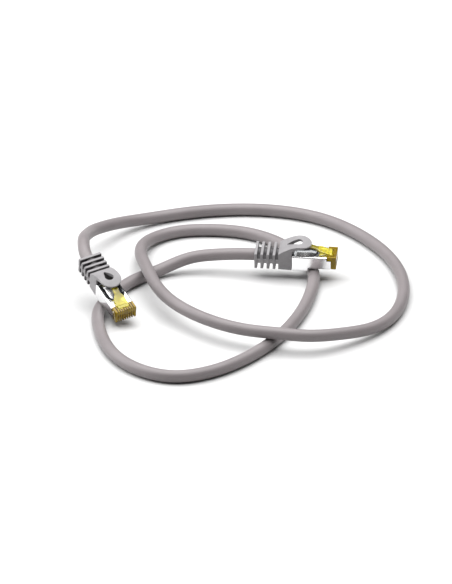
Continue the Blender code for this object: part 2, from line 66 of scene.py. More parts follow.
# Housing and its nose.
HALF_WIDTH = 5.84 * MM
NOSE_TOP = 7.1 * MM
NOSE_LENGTH = 4.9 * MM
LIP_LENGTH = 2.6 * MM
SHOULDER_HEIGHT = 5.1 * MM
HOUSING_REAR = -19.9 * MM
HOUSING_HALF_WIDTH = 5.24 * MM
HOUSING_DECK = 3.8 * MM
HOUSING_BRIDGE = 5.5 * MM
BRIDGE_REAR = -8.8 * MM
WINDOW_REAR = -8.6 * MM
POCKET_HALF_WIDTH = 3.4 * MM
CAVITY_HEIGHTS = (1.1 * MM, 3.3 * MM)
CAVITY_FRONT = -12.5 * MM

# Contacts.
CONTACTS = 8
CONTACT_PITCH = 1.27 * MM
CONTACT_THICKNESS = 0.36 * MM
SLOT_WIDTH = 0.84 * MM
SLOT_REAR = -7.2 * MM
SLOT_TOP = 4.2 * MM

# Shell.
SHEET = 0.3 * MM
SHELL_TOP = 6.4 * MM
SHELL_REAR = -23.5 * MM
SHELL_FRONT = -5.2 * MM
SHELL_TOE = -2.9 * MM
SHELL_TOE_TOP = 4.8 * MM
SHELL_DEEP_BOTTOM = -1.8 * MM
SHELL_STEP = -15.2 * MM
SHELL_TOP_CORNER = 0.65 * MM
SHELL_LOW_CORNER = 0.45 * MM
WELL_HALF_WIDTH = 5.7 * MM
WELL_FRONT_REACH = 5.2 * MM
WELL_ROUND_X = -14.2 * MM
WELL_DEPTH = 1.95 * MM
WELL_FLOOR = 4.1 * MM
WELL_WALL = 3.3 * MM
WELL_RAMP = (-23.4 * MM, -21.6 * MM)
GATE_REAR = -10.2 * MM
GATE_DEPTH = 0.45 * MM

# Latch, drawn in its hinge's frame with +X to the tail.
LATCH_RISE = math.radians(17.5)
LATCH_HINGE = Vector((-3.0, 0.0, 6.6)) * MM
LATCH_LENGTH = 13.6 * MM
LATCH_SHOULDER_END = 6.2 * MM
LATCH_NECK = 8.2 * MM
LATCH_HALF_WIDTHS = (3.05 * MM, 1.6 * MM)
LATCH_THICKNESS = 1.0 * MM

# Boot.
CABLE_AXIS_HEIGHT = 3.4 * MM
BOOT_FRONT = -23.8 * MM
BOOT_BODY_REAR = -30.9 * MM
BOOT_REAR = -43.6 * MM
BOOT_HALF_WIDTH = 6.05 * MM
BOOT_BOTTOM = -1.6 * MM
SLEEVE_RADII = (3.4 * MM, 3.75 * MM)
FERRULE_BORE = 4.2 * MM
FERRULE_BORE_REAR = -29.9 * MM
RIBS = 4
RIB_PITCH = 3.25 * MM
RIB_THICKNESS = 1.45 * MM
RIB_HALF_WIDTH = 6.45 * MM
RIB_HEIGHTS = (-1.4 * MM, 7.9 * MM)
RIB_CORNER = 0.9 * MM
SPINE_HEIGHTS = (2.2 * MM, 4.0 * MM, 5.7 * MM)
BOOT_RAMP = (
    (-30.9, 8.2), (-29.0, 9.6), (-27.0, 10.8), (-25.0, 11.8),
    (-22.6, 12.75), (-20.3, 13.2), (-18.0, 13.15), (-13.4, 12.45),
)
RING_THICKNESS = (2.1 * MM, 0.8 * MM)
RING_ROUND_X = -19.2 * MM
RING_ROUND_RADIUS = 5.8 * MM
BOOT_VOXEL = 0.17 * MM

# Cable.
CABLE_RADIUS = 3.25 * MM
JACKET_END = -27.5 * MM
CABLE_SIDES = 36
CABLE_RING_STEP = 1.5 * MM

# The cable's route over the table, from boot a to boot b, in metres.
CABLE_ROUTE = [
    (-0.0840, 0.0170, 0.0235),
    (-0.0838, 0.0300, 0.0205),
    (-0.0824, 0.0425, 0.0167),
    (-0.0790, 0.0560, 0.0130),
    (-0.0712, 0.0686, 0.0100),
    (-0.0633, 0.0792, 0.0070),
    (-0.0510, 0.0895, 0.0044),
    (-0.0282, 0.0992, 0.0036),
    (-0.0050, 0.1034, 0.0035),
    (0.0181, 0.1018, 0.0035),
    (0.0416, 0.0922, 0.0035),
    (0.0630, 0.0708, 0.0035),
    (0.0853, 0.0044, 0.0035),
    (0.0679, -0.0484, 0.0047),
    (0.0504, -0.0621, 0.0077),
    (0.0327, -0.0689, 0.0099),
    (0.0193, -0.0669, 0.0102),
    (0.0028, -0.0628, 0.0102),
    (-0.0180, -0.0505, 0.0103),
    (-0.0348, -0.0314, 0.0103),
    (-0.0444, -0.0113, 0.0103),
    (-0.0506, 0.0127, 0.0107),
    (-0.0541, 0.0371, 0.0082),
    (-0.0488, 0.0624, 0.0044),
    (-0.0345, 0.0744, 0.0035),
    (-0.0162, 0.0767, 0.0035),
    (0.0017, 0.0730, 0.0035),
    (0.0172, 0.0624, 0.0035),
    (0.0312, 0.0424, 0.0035),
    (0.0362, 0.0310, 0.0035),
    (0.0379, 0.0179, 0.0035),
    (0.0354, -0.0070, 0.0035),
    (0.0284, -0.0339, 0.0035),
    (-0.0014, -0.0854, 0.0035),
    (-0.0194, -0.0995, 0.0035),
    (-0.0362, -0.1035, 0.0035),
    (-0.0527, -0.0959, 0.0035),
    (-0.0746, -0.0460, 0.0033),
    (-0.0747, -0.0217, 0.0033),
    (-0.0682, -0.0045, 0.0033),
    (-0.0568, 0.0129, 0.0035),
    (-0.0436, 0.0238, 0.0043),
    (-0.0278, 0.0303, 0.0082),
    (-0.0129, 0.0300, 0.0104),
]

# ---------------------------------------------------------------- frames


def joint_axis(name):
    return Vector(next(j["axis"] for j in frame["joints"] if j["name"] == name)).normalized()


def axes_matrix(origin, forward, left):
    up = forward.cross(left).normalized()
    return Matrix.Translation(origin) @ Matrix((forward, left, up)).transposed().to_4x4()


def plug_frame(end):
    """The plug's frame in the world, from the nose mount and the latch's joint."""
    mount = next(m for m in RECORD["mounts"] if m["name"] == f"plug_{end}_nose")
    forward = Vector(mount["axis"]).normalized()
    left = -joint_axis(f"latch_{end}_press")
    up = forward.cross(left).normalized()
    return axes_matrix(Vector(mount["pos_m"]) - up * NOSE_MOUNT_HEIGHT, forward, left)


def boot_frame(end):
    """The plug's frame turned about the cable's axis, as far as the ring's joint is."""
    plug = PLUG[end].to_3x3()
    forward, up = plug.col[0], plug.col[2]
    left = joint_axis(f"thumb_ring_{end}_press")
    own_up = forward.cross(left).normalized()
    origin = PLUG[end].translation + (up - own_up) * CABLE_AXIS_HEIGHT
    return axes_matrix(origin, forward, left)


PLUG = {end: plug_frame(end) for end in ENDS}
BOOT = {end: boot_frame(end) for end in ENDS}
LATCH_TURN = Matrix.Rotation(math.pi, 4, "Z") @ Matrix.Rotation(-LATCH_RISE, 4, "Y")
LATCH_FRAME = Matrix.Translation(LATCH_HINGE) @ LATCH_TURN

# ---------------------------------------------------------------- mesh helpers


def finish_mesh(bm, name):
    mesh = bpy.data.meshes.new(name)
    bm.to_mesh(mesh)
    bm.free()
    return mesh


def box_mesh(low, high):
    low, high = Vector(low), Vector(high)
    bm = bmesh.new()
    bmesh.ops.create_cube(bm, size=1.0)
    bmesh.ops.scale(bm, vec=high - low, verts=bm.verts)
    bmesh.ops.translate(bm, vec=(low + high) / 2, verts=bm.verts)
    return finish_mesh(bm, "box")


def rod_mesh(radius, start, end, height, sides=64):
    """A cylinder along X at the given height."""
    bm = bmesh.new()
    turn = Matrix.Translation(((start + end) / 2, 0, height)) @ Matrix.Rotation(math.pi / 2, 4, "Y")
    bmesh.ops.create_cone(
        bm, cap_ends=True, segments=sides, radius1=radius, radius2=radius,
        depth=end - start, matrix=turn,
    )
    return finish_mesh(bm, "rod")


def prism_mesh(outline, low, high, plane):
    """A closed outline extruded along the axis that its plane leaves out."""
    lift = {
        "xy": lambda u, v, w: (u, v, w),
        "xz": lambda u, v, w: (u, w, v),
        "yz": lambda u, v, w: (w, u, v),
    }[plane]
    bm = bmesh.new()
    base = bm.faces.new([bm.verts.new(lift(u, v, low)) for u, v in outline])
    extruded = bmesh.ops.extrude_face_region(bm, geom=[base])
    top = [g for g in extruded["geom"] if isinstance(g, bmesh.types.BMVert)]
    bmesh.ops.translate(bm, vec=Vector(lift(0, 0, high - low)), verts=top)
    bmesh.ops.recalc_face_normals(bm, faces=bm.faces)
    return finish_mesh(bm, "prism")


def arc(centre, radius, start, end, steps):
    angles = np.radians(np.linspace(start, end, steps + 1))
    return [(centre[0] + radius * math.cos(a), centre[1] + radius * math.sin(a)) for a in angles]


def rounded_rectangle(half_width, low, high, corner, steps=6):
    centres = (
        (half_width - corner, high - corner, 0),
        (corner - half_width, high - corner, 90),
        (corner - half_width, low + corner, 180),
        (half_width - corner, low + corner, 270),
    )
    return [p for y, z, start in centres for p in arc((y, z), corner, start, start + 90, steps)]


def grid_mesh(points, closed, keep=None):
    """Quads between rows of points. keep(row, column) drops the faces that it refuses."""
    rows, columns = points.shape[:2]
    mesh = bpy.data.meshes.new("grid")
    faces = []
    for i in range(rows - 1):
        for j in range(columns if closed else columns - 1):
            k = (j + 1) % columns
            if keep is None or keep(i, j):
                base, above = i * columns, (i + 1) * columns
                faces.append((base + j, base + k, above + k, above + j))
    mesh.from_pydata([tuple(p) for p in points.reshape(-1, 3)], [], faces)
    bm = bmesh.new()
    bm.from_mesh(mesh)
    loose = [v for v in bm.verts if not v.link_faces]
    bmesh.ops.delete(bm, geom=loose, context="VERTS")
    bm.to_mesh(mesh)
    bm.free()
    return mesh


def scratch_object(mesh):
    obj = bpy.data.objects.new("scratch", mesh)
    bpy.context.scene.collection.objects.link(obj)
    return obj


def settled(obj):
    """The object's mesh with its modifiers applied. The object is removed."""
    bpy.context.view_layer.update()
    shown = obj.evaluated_get(bpy.context.evaluated_depsgraph_get())
    mesh = bpy.data.meshes.new_from_object(shown)
    bpy.data.objects.remove(obj, do_unlink=True)
    return mesh


def combined(base, steps):
    """A mesh after a list of ("UNION" or "DIFFERENCE" or "INTERSECT", mesh) steps."""
    obj = scratch_object(base)
    cutters = []
    for operation, mesh in steps:
        cutter = scratch_object(mesh)
        modifier = obj.modifiers.new(operation, "BOOLEAN")
        modifier.operation = operation
        modifier.solver = "EXACT"
        modifier.object = cutter
        cutters.append(cutter)
    mesh = settled(obj)
    for cutter in cutters:
        bpy.data.objects.remove(cutter, do_unlink=True)
    return mesh


def bevelled(mesh, width, segments=2, angle=30):
    obj = scratch_object(mesh)
    weld = obj.modifiers.new("Weld", "WELD")
    weld.merge_threshold = 0.002 * MM
    modifier = obj.modifiers.new("Bevel", "BEVEL")
    modifier.width = width
    modifier.segments = segments
    modifier.limit_method = "ANGLE"
    modifier.angle_limit = math.radians(angle)
    return settled(obj)


def joined(meshes):
    bm = bmesh.new()
    for mesh in meshes:
        bm.from_mesh(mesh)
    return finish_mesh(bm, "joined")


def coordinates(mesh):
    co = np.empty(len(mesh.vertices) * 3)
    mesh.vertices.foreach_get("co", co)
    return co.reshape(-1, 3)


def set_coordinates(mesh, co):
    mesh.vertices.foreach_set("co", co.reshape(-1))
    mesh.update()


def point_value(mesh, name, values):
    layer = mesh.attributes.new(name, "FLOAT", "POINT")
    layer.data.foreach_set("value", values.astype(np.float32))


def smoothstep(x, low, high):
    t = np.clip((x - low) / (high - low), 0.0, 1.0)
    return t * t * (3 - 2 * t)


# ---------------------------------------------------------------- materials


class Paint:
    """A Principled material with small helpers for its node tree."""

    def __init__(self, name):
        self.material = bpy.data.materials.new(name)
        self.material.use_nodes = True
        self.tree = self.material.node_tree
        self.shader = self.tree.nodes["Principled BSDF"]
        self.place = self.tree.nodes.new("ShaderNodeTexCoord").outputs["Object"]

    def set(self, **values):
        for name, value in values.items():
            self.shader.inputs[name.replace("_", " ")].default_value = value

    def link(self, out, socket):
        self.tree.links.new(out, self.shader.inputs[socket])

    def stretched(self, scale):
        node = self.tree.nodes.new("ShaderNodeMapping")
        node.inputs["Scale"].default_value = scale
        self.tree.links.new(self.place, node.inputs["Vector"])
        return node.outputs["Vector"]

    def noise(self, scale, detail=2.0, roughness=0.5, vector=None):
        node = self.tree.nodes.new("ShaderNodeTexNoise")
        node.inputs["Scale"].default_value = scale
        node.inputs["Detail"].default_value = detail
        node.inputs["Roughness"].default_value = roughness
        self.tree.links.new(vector or self.place, node.inputs["Vector"])
        return node.outputs["Fac"]

    def value(self, attribute):
        node = self.tree.nodes.new("ShaderNodeAttribute")
        node.attribute_name = attribute
        return node.outputs["Fac"]

    def ramp(self, factor, low, high, start=0.0, end=1.0):
        """Maps a factor from start to end on to a colour or grey from low to high."""
        node = self.tree.nodes.new("ShaderNodeValToRGB")
        for element, position, colour in zip(node.color_ramp.elements, (start, end), (low, high)):
            element.position = position
            element.color = (*colour, 1.0) if hasattr(colour, "__len__") else (colour, colour, colour, 1.0)
        self.tree.links.new(factor, node.inputs["Fac"])
        return node.outputs["Color"]

    def mix(self, factor, a, b, blend="MIX"):
        node = self.tree.nodes.new("ShaderNodeMix")
        node.data_type = "RGBA"
        node.blend_type = blend
        for socket, value in zip((node.inputs[0], node.inputs[6], node.inputs[7]), (factor, a, b)):
            if isinstance(value, bpy.types.NodeSocket):
                self.tree.links.new(value, socket)
            else:
                socket.default_value = value
        return node.outputs[2]

    def bump(self, height, distance, strength=1.0, normal=None):
        node = self.tree.nodes.new("ShaderNodeBump")
        node.inputs["Strength"].default_value = strength
        node.inputs["Distance"].default_value = distance
        self.tree.links.new(height, node.inputs["Height"])
        if normal is not None:
            self.tree.links.new(normal, node.inputs["Normal"])
        return node.outputs["Normal"]


def jacket_material():
    """Extruded PVC: faint blotches, a fine orange-peel skin and a soft gloss."""
    paint = Paint("jacket_pvc")
    blotches = paint.noise(45.0, 3.0)
    paint.link(paint.ramp(blotches, (0.182, 0.162, 0.166), (0.208, 0.186, 0.190), 0.3, 0.7), "Base Color")
    grain = paint.noise(2600.0, 3.0, 0.6)
    paint.link(paint.ramp(grain, 0.40, 0.54, 0.3, 0.7), "Roughness")
    waves = paint.noise(260.0, 2.0)
    skin = paint.bump(grain, 0.012 * MM)
    paint.link(paint.bump(waves, 0.05 * MM, 0.6, skin), "Normal")
    paint.set(Specular_IOR_Level=0.5, Sheen_Weight=0.05)
    return paint.material


def boot_material():
    """Moulded rubber: matte, finely sparked, with painted shade darkening it down in its grooves and under its
    ring.
    """
    paint = Paint("boot_rubber")
    blotches = paint.noise(160.0, 3.0)
    skin_colour = paint.ramp(blotches, (0.218, 0.210, 0.217), (0.254, 0.245, 0.252), 0.3, 0.7)
    # Painted shade: the rubber's colour is mixed towards near black between the ribs and on the ledge under the
    # ring.
    painted_recess_shade = paint.value("painted_recess_shade")
    paint.link(paint.mix(painted_recess_shade, skin_colour, (0.032, 0.028, 0.031, 1.0)), "Base Color")
    grain = paint.noise(4200.0, 3.0, 0.65)
    paint.link(paint.ramp(grain, 0.46, 0.62, 0.3, 0.7), "Roughness")
    paint.link(paint.bump(grain, 0.02 * MM), "Normal")
    paint.set(Specular_IOR_Level=0.45, Sheen_Weight=0.08)
    return paint.material


def nickel_material():
    """Bright nickel plate over rolled sheet: a fine lengthwise grain, faint smears and painted shade in the
    latch's well.
    """
    paint = Paint("nickel_sheet")
    grain = paint.noise(1.0, 3.0, 0.6, paint.stretched((300.0, 6500.0, 6500.0)))
    smears = paint.noise(330.0, 3.0)
    bright = paint.ramp(smears, (0.86, 0.86, 0.87), (0.95, 0.945, 0.94), 0.3, 0.7)
    # Painted shade: the nickel's colour is mixed towards near black on the well's walls and the front of its
    # floor.
    paint.link(paint.mix(paint.value("pressed"), bright, (0.07, 0.075, 0.08, 1.0)), "Base Color")
    rough = paint.mix(0.5, paint.ramp(grain, 0.10, 0.24, 0.3, 0.7), paint.ramp(smears, 0.10, 0.24, 0.35, 0.7))
    paint.link(rough, "Roughness")
    paint.link(paint.bump(grain, 0.003 * MM, 0.6), "Normal")
    paint.set(Metallic=1.0)
    return paint.material


def amber_material():
    """Clear amber polycarbonate, with faint flow lines, a polished skin and painted shade in stripes over the
    contact slots.
    """
    paint = Paint("amber_clear")
    flow = paint.noise(1.0, 2.0, 0.5, paint.stretched((260.0, 900.0, 260.0)))
    clear = paint.ramp(flow, (0.27, 0.175, 0.0015), (0.47, 0.315, 0.004), 0.3, 0.7)
    # Painted shade: dark brown stripes, one per contact slot, across the housing's faces within its outer sides.
    comb = paint.tree.nodes.new("ShaderNodeTexWave")
    comb.bands_direction = "Y"
    comb.inputs["Scale"].default_value = 2 * math.pi / (20.0 * CONTACT_PITCH)
    paint.tree.links.new(paint.place, comb.inputs["Vector"])
    within = paint.mix(paint.value("comb"), (0.0, 0.0, 0.0, 1.0), comb.outputs["Color"])
    painted_slot_shade = paint.ramp(within, 0.0, 1.0, 0.35, 0.75)
    paint.link(paint.mix(painted_slot_shade, clear, (0.07, 0.032, 0.001, 1.0)), "Base Color")
    scuffs = paint.noise(1500.0, 3.0, 0.6)
    paint.link(paint.ramp(scuffs, 0.04, 0.16, 0.35, 0.75), "Roughness")
    paint.link(paint.bump(flow, 0.03 * MM, 0.5), "Normal")
    paint.set(Transmission_Weight=0.35, IOR=1.45, Specular_IOR_Level=0.3)
    return paint.material


def latch_material():
    """The same clear plastic where it is thin, so it shows as a bright yellow, with painted shade turning it olive
    beyond the shoulders.
    """
    paint = Paint("latch_clear")
    flow = paint.noise(1.0, 2.0, 0.5, paint.stretched((300.0, 1200.0, 300.0)))
    bright = paint.ramp(flow, (0.84, 0.73, 0.07), (0.93, 0.85, 0.14), 0.3, 0.7)
    # Painted shade: beyond the shoulders the lever's colour is mixed towards a dark olive.
    paint.link(paint.mix(paint.value("painted_neck_shade"), bright, (0.42, 0.35, 0.03, 1.0)), "Base Color")
    scuffs = paint.noise(1700.0, 3.0, 0.6)
    paint.link(paint.ramp(scuffs, 0.05, 0.18, 0.35, 0.75), "Roughness")
    paint.link(paint.bump(flow, 0.02 * MM, 0.4), "Normal")
    paint.set(Transmission_Weight=0.55, IOR=1.5)
    return paint.material


def gold_material():
    """Gold plate with rolling marks across the blade's edge."""
    paint = Paint("contact_gold_plate")
    marks = paint.noise(1.0, 2.0, 0.5, paint.stretched((9000.0, 2500.0, 1200.0)))
    paint.link(paint.ramp(marks, (0.86, 0.58, 0.20), (1.0, 0.76, 0.34), 0.3, 0.7), "Base Color")
    paint.link(paint.ramp(marks, 0.14, 0.30, 0.3, 0.7), "Roughness")
    paint.link(paint.bump(marks, 0.004 * MM, 0.5), "Normal")
    paint.set(Metallic=1.0)
    return paint.material


def nylon_material():
    """Natural nylon, milky, with a mottled moulded skin."""
    paint = Paint("load_bar_nylon")
    mottle = paint.noise(900.0, 3.0)
    paint.link(paint.ramp(mottle, (0.66, 0.62, 0.50), (0.80, 0.77, 0.66), 0.3, 0.7), "Base Color")
    paint.link(paint.ramp(mottle, 0.35, 0.55, 0.3, 0.7), "Roughness")
    paint.link(paint.bump(mottle, 0.02 * MM, 0.5), "Normal")
    paint.set(Subsurface_Weight=0.15, Subsurface_Scale=0.001)
    return paint.material


def foil_material():
    """Aluminium foil wrapped round a pair: creased and bright."""
    paint = Paint("pair_foil_wrap")
    creases = paint.noise(1.0, 4.0, 0.7, paint.stretched((1400.0, 3200.0, 3200.0)))
    paint.link(paint.ramp(creases, (0.70, 0.70, 0.72), (0.92, 0.92, 0.94), 0.3, 0.7), "Base Color")
    paint.link(paint.ramp(creases, 0.16, 0.42, 0.3, 0.7), "Roughness")
    paint.link(paint.bump(creases, 0.08 * MM, 0.8), "Normal")
    paint.set(Metallic=1.0)
    return paint.material


def braid_material():
    """Tinned copper braid: crossing bands of fine wire."""
    paint = Paint("tinned_braid")
    wave = paint.tree.nodes.new("ShaderNodeTexWave")
    wave.wave_type = "BANDS"
    wave.bands_direction = "DIAGONAL"
    wave.inputs["Scale"].default_value = 900.0
    wave.inputs["Distortion"].default_value = 2.0
    paint.tree.links.new(paint.place, wave.inputs["Vector"])
    strands = wave.outputs["Fac"]
    paint.link(paint.ramp(strands, (0.42, 0.38, 0.32), (0.82, 0.79, 0.74)), "Base Color")
    paint.link(paint.ramp(strands, 0.5, 0.28), "Roughness")
    paint.link(paint.bump(strands, 0.08 * MM), "Normal")
    paint.set(Metallic=1.0)
    return paint.material


def steel_material():
    """Plain crimped sheet, with a dull turned grain."""
    paint = Paint("ferrule_steel")
    grain = paint.noise(1.0, 3.0, 0.6, paint.stretched((5200.0, 420.0, 420.0)))
    paint.link(paint.ramp(grain, (0.56, 0.56, 0.57), (0.70, 0.70, 0.71), 0.3, 0.7), "Base Color")
    paint.link(paint.ramp(grain, 0.26, 0.44, 0.3, 0.7), "Roughness")
    paint.link(paint.bump(grain, 0.01 * MM), "Normal")
    paint.set(Metallic=1.0)
    return paint.material


def floor_material():
    """A plain, almost white table."""
    paint = Paint("table_white")
    mottle = paint.noise(9.0, 3.0)
    paint.link(paint.ramp(mottle, (0.60, 0.60, 0.60), (0.62, 0.62, 0.62), 0.3, 0.7), "Base Color")
    paint.link(paint.ramp(mottle, 0.62, 0.72, 0.3, 0.7), "Roughness")
    paint.set(Specular_IOR_Level=0.25)
    return paint.material


MATERIAL = {
    "jacket": jacket_material(),
    "boot": boot_material(),
    "shell_metal": nickel_material(),
    "clear_amber": amber_material(),
    "latch_amber": latch_material(),
    "contact_gold": gold_material(),
    "comb_plastic": nylon_material(),
    "pair_foil": foil_material(),
    "braid": braid_material(),
    "ferrule_metal": steel_material(),
}


# ---------------------------------------------------------------- placing pieces


def place(name, mesh, slot, matrix=None, smooth_angle=40):
    """A named piece with its material, in the world frame."""
    mesh.materials.clear()
    mesh.materials.append(MATERIAL[slot])
    obj = bpy.data.objects.new(name, mesh)
    bpy.context.scene.collection.objects.link(obj)
    if matrix is not None:
        obj.matrix_world = matrix
    mesh.shade_smooth()
    mesh.set_sharp_from_angle(angle=math.radians(smooth_angle))
    return obj


# ---------------------------------------------------------------- boot and thumb ring


def ramp_line():
    """The line along the top of the ramp and ring in (x, z), and its unit normals."""
    corners = [(x * MM, 0.0, z * MM) for x, z in BOOT_RAMP]
    along = np.array(corners[1]) - np.array(corners[0])
    line = smooth_curve(corners, along / np.linalg.norm(along), (0.985, 0.0, -0.17), 0.4 * MM)[:, ::2]
    ways = np.gradient(line, axis=0)
    ways /= np.linalg.norm(ways, axis=1)[:, None]
    return line, np.stack([-ways[:, 1], ways[:, 0]], axis=1)


def strap_mesh():
    """The ramp's skin and the ring: a band with a round front and an eye-shaped slot."""
    line, normal = ramp_line()
    root, tip = RING_THICKNESS
    thickness = root + (tip - root) * smoothstep(line[:, :1], -25.0 * MM, -14.0 * MM)
    lower = line - normal * thickness
    outline = [tuple(p) for p in lower] + [tuple(p) for p in line[::-1]]
    band = prism_mesh(outline, -7 * MM, 7 * MM, "xz")
    plan = [
        (-30.9 * MM, -BOOT_HALF_WIDTH),
        *arc((RING_ROUND_X, 0.0), RING_ROUND_RADIUS, -90, 90, 36),
        (-30.9 * MM, BOOT_HALF_WIDTH),
    ]
    eye = [
        (-26.7 * MM, 0.0),
        (-24.4 * MM, -1.2 * MM),
        *arc((-20.4 * MM, 0.0), 2.25 * MM, -100, 100, 20),
        (-24.4 * MM, 1.2 * MM),
    ]
    steps = [
        ("INTERSECT", prism_mesh(plan, -20 * MM, 20 * MM, "xy")),
        ("DIFFERENCE", prism_mesh(eye, -20 * MM, 20 * MM, "xy")),
    ]
    return combined(band, steps)


def boot_base_mesh():
    """Body, sloped ledge, cheeks, sleeve, ribs and spines, bored for the cable."""
    body = [
        (BOOT_BODY_REAR, BOOT_BOTTOM + 0.3 * MM),
        (BOOT_FRONT, BOOT_BOTTOM),
        (BOOT_FRONT, 7.6 * MM),
        (-26.0 * MM, 9.9 * MM),
        (-27.0 * MM, 10.0 * MM),
        (BOOT_BODY_REAR, 7.9 * MM),
    ]
    cheek = [
        (-28.6 * MM, 6.0 * MM),
        (-23.6 * MM, 6.0 * MM),
        (-23.5 * MM, 10.0 * MM),
        (-24.0 * MM, 10.9 * MM),
        (-28.6 * MM, 8.4 * MM),
    ]
    steps = []
    for side in (-1, 1):
        low, high = sorted((side * BOOT_HALF_WIDTH, side * (BOOT_HALF_WIDTH - 1.1 * MM)))
        steps.append(("UNION", prism_mesh(cheek, low, high, "xz")))
    sleeve_rear = BOOT_REAR + RIB_THICKNESS / 2
    steps.append(("UNION", rod_mesh(SLEEVE_RADII[1], sleeve_rear, BOOT_BODY_REAR + SHEET, CABLE_AXIS_HEIGHT)))
    rib = rounded_rectangle(RIB_HALF_WIDTH, *RIB_HEIGHTS, RIB_CORNER)
    for number in range(RIBS):
        rear = BOOT_REAR + number * RIB_PITCH
        steps.append(("UNION", prism_mesh(rib, rear, rear + RIB_THICKNESS, "yz")))
    under, edge, over = SPINE_HEIGHTS
    spine_half, root = RIB_HALF_WIDTH - 0.35 * MM, 3.0 * MM
    for side in (-1, 1):
        profile = [(root, under), (spine_half, under), (spine_half, edge), (root, over)]
        spine = prism_mesh([(side * y, z) for y, z in profile], sleeve_rear, BOOT_BODY_REAR + SHEET, "yz")
        steps.append(("UNION", spine))
    bore = rod_mesh(SLEEVE_RADII[0], BOOT_REAR - 1 * MM, BOOT_FRONT + 1 * MM, CABLE_AXIS_HEIGHT)
    chamber = rod_mesh(FERRULE_BORE, FERRULE_BORE_REAR, BOOT_FRONT + 1 * MM, CABLE_AXIS_HEIGHT)
    steps += [("DIFFERENCE", bore), ("DIFFERENCE", chamber)]
    return combined(prism_mesh(body, -BOOT_HALF_WIDTH, BOOT_HALF_WIDTH, "xz"), steps)


def boot_mesh():
    """The boot and its ring as one moulding: remeshed, its edges softened."""
    obj = scratch_object(joined([boot_base_mesh(), strap_mesh()]))
    remesh = obj.modifiers.new("Remesh", "REMESH")
    remesh.mode = "VOXEL"
    remesh.voxel_size = BOOT_VOXEL
    soften = obj.modifiers.new("Smooth", "SMOOTH")
    soften.factor = 0.5
    soften.iterations = 4
    mesh = settled(obj)
    co = coordinates(mesh)
    x, y, z = co.T / MM
    off_axis = np.hypot(y, z - CABLE_AXIS_HEIGHT / MM)
    # Painted shade: a mask of the grooves between the ribs, left off the spines and the rear face, where the
    # rubber's colour is darkened.
    inside_ribs = smoothstep(-x, -BOOT_BODY_REAR / MM + 0.1, -BOOT_BODY_REAR / MM + 0.4)
    half, low, high = RIB_HALF_WIDTH / MM, RIB_HEIGHTS[0] / MM, RIB_HEIGHTS[1] / MM
    depth = np.minimum(np.minimum(half - np.abs(y), high - z), z - low)
    painted_recess_shade = smoothstep(depth, 0.10, 0.38) * inside_ribs
    beside_spine = smoothstep(np.abs(y), 5.0, 5.5)
    on_spine = smoothstep(z, 2.0, 2.3) * (1 - smoothstep(z, 4.2, 5.4)) * beside_spine
    rear_face = smoothstep(-x, -BOOT_REAR / MM - 0.35, -BOOT_REAR / MM - 0.15)
    painted_recess_shade = painted_recess_shade * (1 - on_spine) * (1 - rear_face)
    # The ledge under the ring gets the same painted shade.
    under_ring_shade = (x > -26.9) * (x < -23.2) * (z > 6.5) * (z < 10.4) * (np.abs(y) < 4.9)
    point_value(mesh, "painted_recess_shade", np.maximum(painted_recess_shade, under_ring_shade) * 0.9)
    seam = np.exp(-(((z - 1.9) / 0.16) ** 2)) * (np.abs(y) > 5.9) * (x > -30.7) * (x < -24.0)
    y = y + np.sign(y) * 0.07 * seam
    set_coordinates(mesh, np.stack([x, y, z], axis=1) * MM)
    return mesh


def add_boots():
    """One moulding for each boot. Its ring bends down from the boot's front."""
    mesh = boot_mesh()
    for end in ENDS:
        own = mesh.copy()
        own.transform(BOOT[end])
        boot = place(f"boot_with_ring_{end}", own, "boot", smooth_angle=70)
        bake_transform(boot)
        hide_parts(f"boot_{end}", f"thumb_ring_{end}")


# ---------------------------------------------------------------- shell


def shell_section(bottom):
    """The sheet's outer outline (y, z) round the plug, from the middle of its bottom."""
    half, top = HALF_WIDTH, SHELL_TOP
    low_corner, top_corner = SHELL_LOW_CORNER, SHELL_TOP_CORNER
    window = HOUSING_HALF_WIDTH
    low_flat = [(y, bottom) for y in np.linspace(0.0, window, 7)]
    low_round = arc((half - low_corner, bottom + low_corner), low_corner, -90, 0, 4)
    side = [(half, z) for z in np.linspace(bottom + low_corner, SHELL_TOE_TOP, 8)[1:]]
    side += [(half, z) for z in np.linspace(SHELL_TOE_TOP, top - top_corner, 4)[1:]]
    top_round = arc((half - top_corner, top - top_corner), top_corner, 0, 90, 7)[1:]
    top_flat = [(y, top) for y in np.linspace(half - top_corner, 0.0, 38)[1:]]
    right = low_flat + low_round + side + top_round + top_flat
    left = [(-y, z) for y, z in right[-2:0:-1]]
    return np.array(right + left)


def well_inward(x, y):
    """How far a place in plan lies inside the well's rim, which is round at its front."""
    ahead = np.maximum(x - WELL_ROUND_X, 0.0) * WELL_HALF_WIDTH / WELL_FRONT_REACH
    return WELL_HALF_WIDTH - np.hypot(ahead, y)


def pressed_depth(x, y):
    """How far the sheet's top is pressed down: the latch's well and the gate before it."""
    share = np.clip(well_inward(x, y) / WELL_WALL, 0.0, 1.0)
    well = WELL_DEPTH * (1 - (1 - share) ** 2.1)
    well = well * smoothstep(x, *WELL_RAMP)
    gate = smoothstep(x, GATE_REAR, GATE_REAR + 0.8 * MM)
    gate = gate * (1 - smoothstep(np.abs(y), POCKET_HALF_WIDTH - 0.1 * MM, POCKET_HALF_WIDTH + 0.4 * MM))
    return np.maximum(well, GATE_DEPTH * gate)


